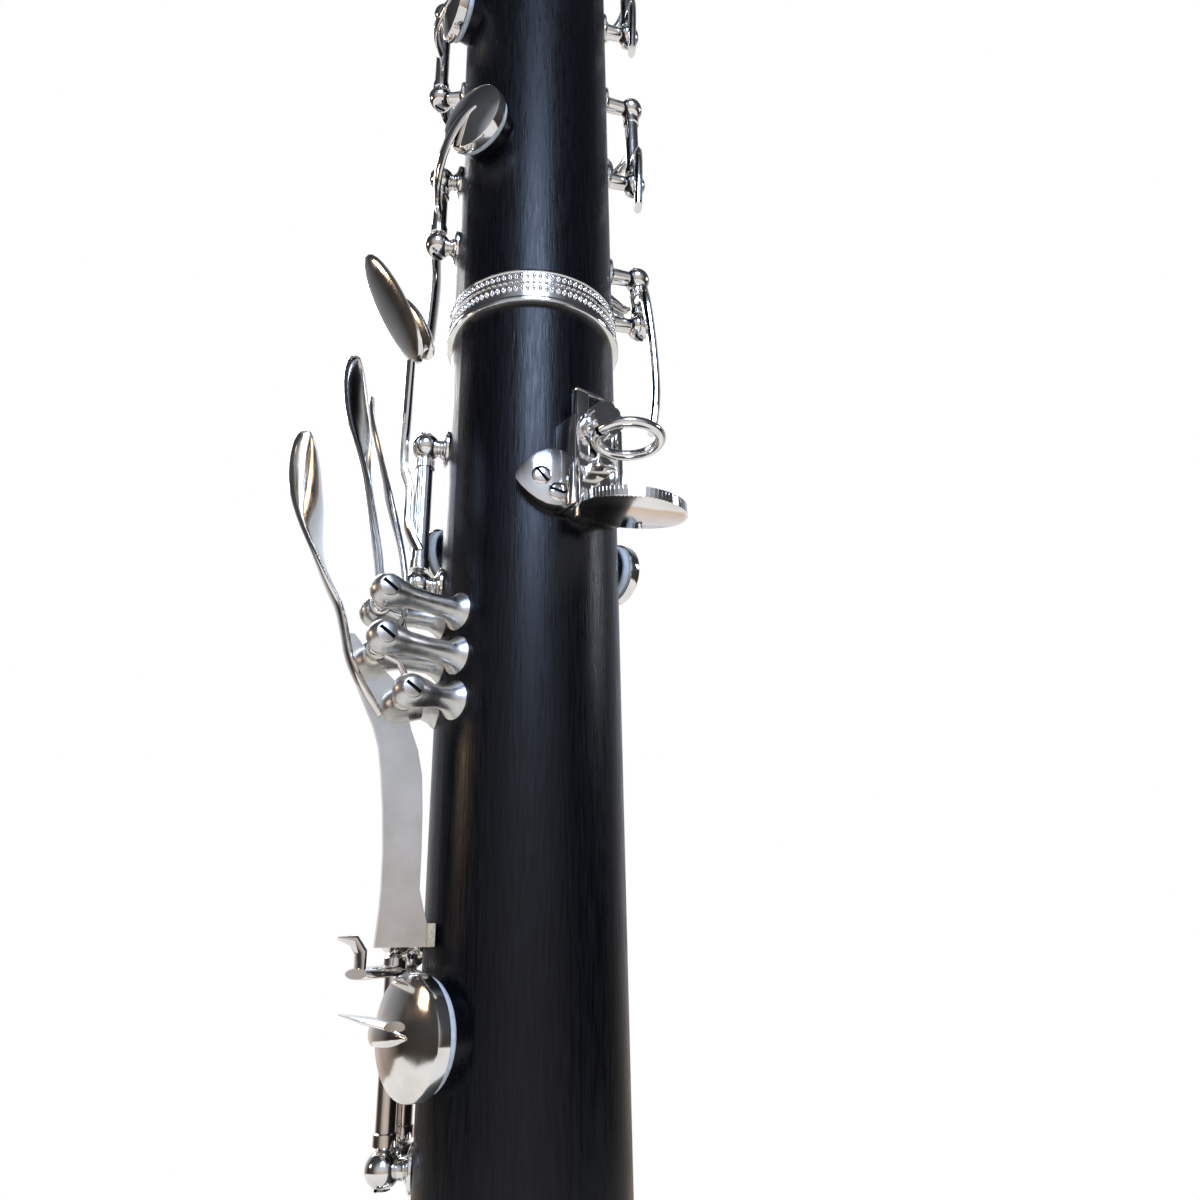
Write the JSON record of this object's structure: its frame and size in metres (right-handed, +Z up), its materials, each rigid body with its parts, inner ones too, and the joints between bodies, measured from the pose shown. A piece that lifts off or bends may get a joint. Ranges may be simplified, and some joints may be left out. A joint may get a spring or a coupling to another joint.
{
  "type": "bass clarinet",
  "caption": "Bass clarinet with a black two-piece body, silver-plated keywork, curved neck with mouthpiece, upturned metal bell and floor peg",
  "frame": {"origin": "floor under the peg's rubber foot, on the body axis", "axes": "+Z up along the body axis towards the neck, +Y towards the player, -Y the side the bell faces, +X the player's left"},
  "size_m": [0.126, 0.3879, 1.2122],
  "materials": {
    "grenadilla": "satin, fine vertical grain",
    "silver_plate": "polished silver plate",
    "satin_nickel": "satin grey nickel silver",
    "steel": "fine turned steel",
    "cork": "matt sheet cork",
    "hard_rubber": "polished black hard rubber",
    "cane": "matt cane",
    "rubber": "matt black"
  },
  "bodies": {
    "body": {"upper_joint": "grenadilla", "lower_joint": "grenadilla", "tenon_corks": "cork", "joint_ring": "silver_plate", "top_ring": "silver_plate", "posts_upper": "silver_plate", "posts_lower": "silver_plate", "hinge_rods_upper": "steel", "hinge_rods_lower": "steel", "register_mount": "silver_plate", "lever_posts": "satin_nickel", "lever_screws": "steel", "thumb_rest_base": "silver_plate", "thumb_rest_base_screws": "steel"},
    "left_index_key": {"left_index_key": "silver_plate"},
    "left_middle_key": {"left_middle_key": "silver_plate"},
    "left_ring_key": {"left_ring_key": "silver_plate"},
    "thumb_key": {"thumb_key": "silver_plate"},
    "throat_a_key": {"throat_a_key": "silver_plate"},
    "throat_g_key": {"throat_g_key": "silver_plate"},
    "fork_key": {"fork_key": "silver_plate"},
    "c_sharp_key": {"c_sharp_key": "silver_plate"},
    "side_low_key": {"side_low_key": "silver_plate"},
    "side_mid_key": {"side_mid_key": "silver_plate"},
    "side_high_key": {"side_high_key": "silver_plate"},
    "right_index_key": {"right_index_key": "silver_plate"},
    "right_middle_key": {"right_middle_key": "silver_plate"},
    "right_ring_key": {"right_ring_key": "silver_plate"},
    "sliver_key": {"sliver_key": "silver_plate"},
    "left_d_key": {"left_d_key": "silver_plate"},
    "vent_key": {"vent_key": "silver_plate"},
    "f_key": {"f_key": "silver_plate"},
    "a_flat_key": {"a_flat_key": "silver_plate"},
    "low_e_key": {"low_e_key": "silver_plate"},
    "low_e_flat_key": {"low_e_flat_key": "silver_plate"},
    "register_key": {"register_key": "silver_plate"},
    "lever_a": {"lever_a": "silver_plate"},
    "lever_b": {"lever_b": "silver_plate"},
    "lever_c": {"lever_c": "silver_plate"},
    "neck": {"neck_tube": "silver_plate", "neck_corks": "cork"},
    "mouthpiece": {"mouthpiece": "hard_rubber", "reed": "cane", "ligature": "silver_plate"},
    "ligature_screw_low": {"ligature_screw_low": "silver_plate"},
    "ligature_screw_high": {"ligature_screw_high": "silver_plate"},
    "bell": {"bell": "silver_plate", "bell_ring": "silver_plate", "peg_holder": "silver_plate"},
    "peg": {"peg_rod": "steel", "peg_tip": "rubber"},
    "peg_screw": {"peg_screw": "silver_plate"},
    "thumb_rest": {"thumb_rest": "silver_plate", "strap_ring": "silver_plate"},
    "thumb_lock_screw": {"thumb_lock_screw": "silver_plate"}
  },
  "joints": [
    {"name": "left_index_key_hinge", "type": "hinge", "parent": "body", "child": "left_index_key", "pos_m": [-0.01405, -0.02007, 0.945], "axis": [0, 0, 1], "range_deg": [0, 9], "stiffness_Nm_per_rad": 0.02},
    {"name": "left_middle_key_hinge", "type": "hinge", "parent": "body", "child": "left_middle_key", "pos_m": [-0.01405, -0.02007, 0.89], "axis": [0, 0, 1], "range_deg": [0, 9], "stiffness_Nm_per_rad": 0.02},
    {"name": "left_ring_key_hinge", "type": "hinge", "parent": "body", "child": "left_ring_key", "pos_m": [-0.01405, -0.02007, 0.835], "axis": [0, 0, 1], "range_deg": [0, 9], "stiffness_Nm_per_rad": 0.02},
    {"name": "thumb_key_hinge", "type": "hinge", "parent": "body", "child": "thumb_key", "pos_m": [-0.0115, 0.02163, 0.93], "axis": [0, 0, -1], "range_deg": [0, 9], "stiffness_Nm_per_rad": 0.02},
    {"name": "throat_a_key_hinge", "type": "hinge", "parent": "body", "child": "throat_a_key", "pos_m": [0.01298, -0.02078, 1.021], "axis": [0, 0, -1], "range_deg": [0, 9], "stiffness_Nm_per_rad": 0.02},
    {"name": "throat_g_key_hinge", "type": "hinge", "parent": "body", "child": "throat_g_key", "pos_m": [-0.01298, -0.02078, 1.001], "axis": [0, 0, 1], "range_deg": [0, 9], "stiffness_Nm_per_rad": 0.02},
    {"name": "fork_key_hinge", "type": "hinge", "parent": "body", "child": "fork_key", "pos_m": [0.01931, -0.01508, 0.834], "axis": [0, 0, -1], "range_deg": [0, 9], "stiffness_Nm_per_rad": 0.02},
    {"name": "c_sharp_key_hinge", "type": "hinge", "parent": "body", "child": "c_sharp_key", "pos_m": [0.0203, -0.00947, 0.777], "axis": [0, 0, -1], "range_deg": [0, 9], "stiffness_Nm_per_rad": 0.02},
    {"name": "side_low_key_hinge", "type": "hinge", "parent": "body", "child": "side_low_key", "pos_m": [-0.02424, 0.00882, 0.7602], "axis": [0, 0, -1], "range_deg": [0, 8], "stiffness_Nm_per_rad": 0.02},
    {"name": "side_mid_key_hinge", "type": "hinge", "parent": "body", "child": "side_mid_key", "pos_m": [-0.02424, 0.00882, 0.81], "axis": [0, 0, -1], "range_deg": [0, 9], "stiffness_Nm_per_rad": 0.02},
    {"name": "side_high_key_hinge", "type": "hinge", "parent": "body", "child": "side_high_key", "pos_m": [-0.02424, 0.00882, 0.863], "axis": [0, 0, -1], "range_deg": [0, 9], "stiffness_Nm_per_rad": 0.02},
    {"name": "right_index_key_hinge", "type": "hinge", "parent": "body", "child": "right_index_key", "pos_m": [-0.01405, -0.02007, 0.705], "axis": [0, 0, 1], "range_deg": [0, 9], "stiffness_Nm_per_rad": 0.02},
    {"name": "right_middle_key_hinge", "type": "hinge", "parent": "body", "child": "right_middle_key", "pos_m": [-0.01405, -0.02007, 0.669], "axis": [0, 0, 1], "range_deg": [0, 9], "stiffness_Nm_per_rad": 0.02},
    {"name": "right_ring_key_hinge", "type": "hinge", "parent": "body", "child": "right_ring_key", "pos_m": [-0.01405, -0.02007, 0.633], "axis": [0, 0, 1], "range_deg": [0, 9], "stiffness_Nm_per_rad": 0.02},
    {"name": "sliver_key_hinge", "type": "hinge", "parent": "body", "child": "sliver_key", "pos_m": [-0.02163, -0.0115, 0.692], "axis": [0, 0, 1], "range_deg": [0, 9], "stiffness_Nm_per_rad": 0.02},
    {"name": "left_d_key_hinge", "type": "hinge", "parent": "body", "child": "left_d_key", "pos_m": [0.0203, -0.00947, 0.6985], "axis": [0, 0, 1], "range_deg": [0, 9], "stiffness_Nm_per_rad": 0.02},
    {"name": "vent_key_hinge", "type": "hinge", "parent": "body", "child": "vent_key", "pos_m": [0.01853, -0.01346, 0.5998], "axis": [0, 0, -1], "range_deg": [0, 9], "stiffness_Nm_per_rad": 0.02},
    {"name": "f_key_hinge", "type": "hinge", "parent": "body", "child": "f_key", "pos_m": [0.01317, -0.01812, 0.5986], "axis": [0, 0, -1], "range_deg": [0, 8], "stiffness_Nm_per_rad": 0.02},
    {"name": "a_flat_key_hinge", "type": "hinge", "parent": "body", "child": "a_flat_key", "pos_m": [0.01225, -0.02122, 0.514], "axis": [0, 0, 1], "range_deg": [0, 9], "stiffness_Nm_per_rad": 0.02},
    {"name": "low_e_key_hinge", "type": "hinge", "parent": "body", "child": "low_e_key", "pos_m": [-0.01405, -0.02007, 0.477], "axis": [0, 0, 1], "range_deg": [0, 7], "stiffness_Nm_per_rad": 0.02},
    {"name": "low_e_flat_key_hinge", "type": "hinge", "parent": "body", "child": "low_e_flat_key", "pos_m": [0.01982, -0.0144, 0.481], "axis": [0, 0, -1], "range_deg": [0, 7], "stiffness_Nm_per_rad": 0.02},
    {"name": "register_key_hinge", "type": "hinge", "parent": "body", "child": "register_key", "pos_m": [0, 0.0245, 1.002], "axis": [-1, 0, 0], "range_deg": [0, 4], "stiffness_Nm_per_rad": 0.02},
    {"name": "lever_a_pivot", "type": "hinge", "parent": "body", "child": "lever_a", "pos_m": [0.02579, -0.00111, 0.6573], "axis": [-0.2588, -0.9659, 0], "range_deg": [0, 3], "stiffness_Nm_per_rad": 0.02},
    {"name": "lever_b_pivot", "type": "hinge", "parent": "body", "child": "lever_b", "pos_m": [0.03168, 0, 0.6742], "axis": [-0.2588, -0.9659, 0], "range_deg": [0, 4], "stiffness_Nm_per_rad": 0.02},
    {"name": "lever_c_pivot", "type": "hinge", "parent": "body", "child": "lever_c", "pos_m": [0.03168, 0, 0.6657], "axis": [-0.2588, -0.9659, 0], "range_deg": [0, 4], "stiffness_Nm_per_rad": 0.02},
    {"name": "neck_swivel", "type": "hinge", "parent": "body", "child": "neck", "pos_m": [0, 0, 1.11], "axis": [0, 0, 1], "range_deg": [-25, 25]},
    {"name": "mouthpiece_swivel", "type": "hinge", "parent": "neck", "child": "mouthpiece", "pos_m": [0, 0.09482, 1.18975], "axis": [0, 0.9659, -0.2588], "range_deg": [-20, 20]},
    {"name": "ligature_screw_low_turn", "type": "hinge", "parent": "mouthpiece", "child": "ligature_screw_low", "pos_m": [0, 0.1307, 1.1614], "axis": [1, 0, 0], "continuous": true},
    {"name": "ligature_screw_high_turn", "type": "hinge", "parent": "mouthpiece", "child": "ligature_screw_high", "pos_m": [0, 0.14229, 1.1583], "axis": [1, 0, 0], "continuous": true},
    {"name": "bell_swivel", "type": "hinge", "parent": "body", "child": "bell", "pos_m": [0, 0, 0.34], "axis": [0, 0, 1], "range_deg": [-15, 15]},
    {"name": "peg_slide", "type": "slide", "parent": "bell", "child": "peg", "axis": [0, 0, 1], "range_m": [-0.02, 0.024]},
    {"name": "peg_screw_turn", "type": "hinge", "parent": "bell", "child": "peg_screw", "pos_m": [0, 0.011, 0.164], "axis": [0, 1, 0], "continuous": true},
    {"name": "thumb_rest_slide", "type": "slide", "parent": "body", "child": "thumb_rest", "axis": [0, 0, 1], "range_m": [-0.004, 0.0025]},
    {"name": "thumb_lock_screw_turn", "type": "hinge", "parent": "body", "child": "thumb_lock_screw", "pos_m": [0, 0.022, 0.7104], "axis": [0, 1, 0], "continuous": true}
  ],
  "couplings": [
    {"joint": "vent_key_hinge", "follows": "lever_a_pivot", "ratio": 3}
  ]
}
